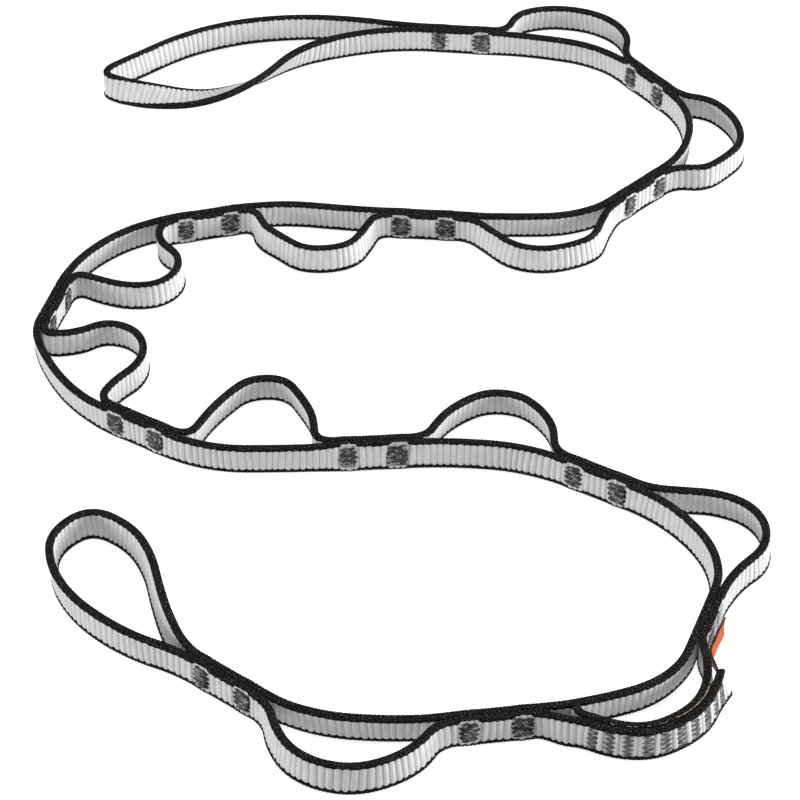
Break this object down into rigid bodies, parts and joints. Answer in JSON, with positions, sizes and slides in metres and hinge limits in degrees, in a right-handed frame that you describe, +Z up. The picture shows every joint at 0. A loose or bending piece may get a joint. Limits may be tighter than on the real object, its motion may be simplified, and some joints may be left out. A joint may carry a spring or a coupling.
{
  "type": "climbing daisy chain sling",
  "caption": "Flat webbing sling sewn into a row of pockets, with a loop at each end, standing on edge in an S-shaped lay.",
  "frame": {"origin": "on the floor, under the middle of the bounding box of the sling as it lies", "axes": "+Z up, across the webbing's width; +X and +Y in the plane of the lay, with the first end loop towards +Y and the last towards -Y"},
  "size_m": [0.3192, 0.5322, 0.012],
  "materials": {
    "webbing": "silky ribbed webbing with black selvedge edges",
    "thread": "dense zigzag stitching",
    "label": "plain woven label"
  },
  "bodies": {
    "link_01": {"spine_01": "webbing", "slack_01": "webbing", "tacks_01": "thread"},
    "link_02": {"spine_02": "webbing", "slack_02": "webbing", "tacks_02": "thread"},
    "link_03": {"spine_03": "webbing", "slack_03": "webbing", "tacks_03": "thread"},
    "link_04": {"spine_04": "webbing", "slack_04": "webbing", "tacks_04": "thread"},
    "link_05": {"spine_05": "webbing", "slack_05": "webbing", "tacks_05": "thread"},
    "link_06": {"spine_06": "webbing", "slack_06": "webbing", "tacks_06": "thread"},
    "link_07": {"spine_07": "webbing", "slack_07": "webbing", "tacks_07": "thread"},
    "link_08": {"spine_08": "webbing", "slack_08": "webbing", "tacks_08": "thread"},
    "link_09": {"spine_09": "webbing", "slack_09": "webbing", "tacks_09": "thread"},
    "link_10": {"spine_10": "webbing", "slack_10": "webbing", "tacks_10": "thread", "splice_outer": "webbing", "splice_tacks": "thread", "label": "label"},
    "link_11": {"spine_11": "webbing", "slack_11": "webbing", "tacks_11": "thread"},
    "link_12": {"spine_12": "webbing", "slack_12": "webbing", "tacks_12": "thread"},
    "loop_a": {"loop_a_back": "webbing", "loop_a_twist": "webbing", "loop_a_front": "webbing"},
    "loop_b": {"loop_b_back": "webbing", "loop_b_front": "webbing"}
  },
  "joints": [
    {"name": "pocket_6_flex", "type": "hinge", "parent": "link_06", "child": "link_07", "pos_m": [-0.14973, -0.02789, 0.006], "axis": [0, 0, -1], "range_deg": [-3, 71], "deforming": ["slack_06", "slack_07"]},
    {"name": "pocket_7_flex", "type": "hinge", "parent": "link_07", "child": "link_08", "pos_m": [-0.06343, -0.07978, 0.006], "axis": [0, 0, -1], "range_deg": [-3, 37], "deforming": ["slack_07", "slack_08"]},
    {"name": "pocket_8_flex", "type": "hinge", "parent": "link_08", "child": "link_09", "pos_m": [0.0354, -0.07738, 0.006], "axis": [0, 0, 1], "range_deg": [-3, 36], "deforming": ["slack_08", "slack_09"]},
    {"name": "pocket_9_flex", "type": "hinge", "parent": "link_09", "child": "link_10", "pos_m": [0.11726, -0.13234, 0.006], "axis": [0, 0, 1], "range_deg": [-3, 78], "deforming": ["slack_09", "slack_10"]},
    {"name": "pocket_10_flex", "type": "hinge", "parent": "link_10", "child": "link_11", "pos_m": [0.04837, -0.23435, 0.006], "axis": [0, 0, 1], "range_deg": [-3, 40]},
    {"name": "pocket_11_flex", "type": "hinge", "parent": "link_11", "child": "link_12", "pos_m": [-0.01898, -0.23741, 0.006], "axis": [0, 0, 1], "range_deg": [-3, 47], "deforming": ["slack_11", "slack_12"]},
    {"name": "pocket_5_flex", "type": "hinge", "parent": "link_06", "child": "link_05", "pos_m": [-0.13287, 0.0672, 0.006], "axis": [0, 0, 1], "range_deg": [-5, 61], "deforming": ["slack_05", "slack_06"]},
    {"name": "pocket_4_flex", "type": "hinge", "parent": "link_05", "child": "link_04", "pos_m": [-0.03969, 0.09472, 0.006], "axis": [0, 0, 1], "range_deg": [-5, 20], "deforming": ["slack_04", "slack_05"]},
    {"name": "pocket_3_flex", "type": "hinge", "parent": "link_04", "child": "link_03", "pos_m": [0.0629, 0.08689, 0.006], "axis": [0, 0, -1], "range_deg": [-5, 51], "deforming": ["slack_03", "slack_04"]},
    {"name": "pocket_2_flex", "type": "hinge", "parent": "link_03", "child": "link_02", "pos_m": [0.13341, 0.15558, 0.006], "axis": [0, 0, -1], "range_deg": [-5, 79], "deforming": ["slack_02", "slack_03"]},
    {"name": "pocket_1_flex", "type": "hinge", "parent": "link_02", "child": "link_01", "pos_m": [0.07908, 0.23514, 0.006], "axis": [0, 0, -1], "range_deg": [-5, 49], "deforming": ["slack_01", "slack_02"]},
    {"name": "loop_a_swing", "type": "hinge", "parent": "link_01", "child": "loop_a", "pos_m": [0.01463, 0.24676, 0.006], "axis": [0, 0, -1], "range_deg": [-20, 30]},
    {"name": "loop_b_swing", "type": "hinge", "parent": "link_12", "child": "loop_b", "pos_m": [-0.07767, -0.206, 0.006], "axis": [0, 0, 1], "range_deg": [-20, 30]}
  ]
}
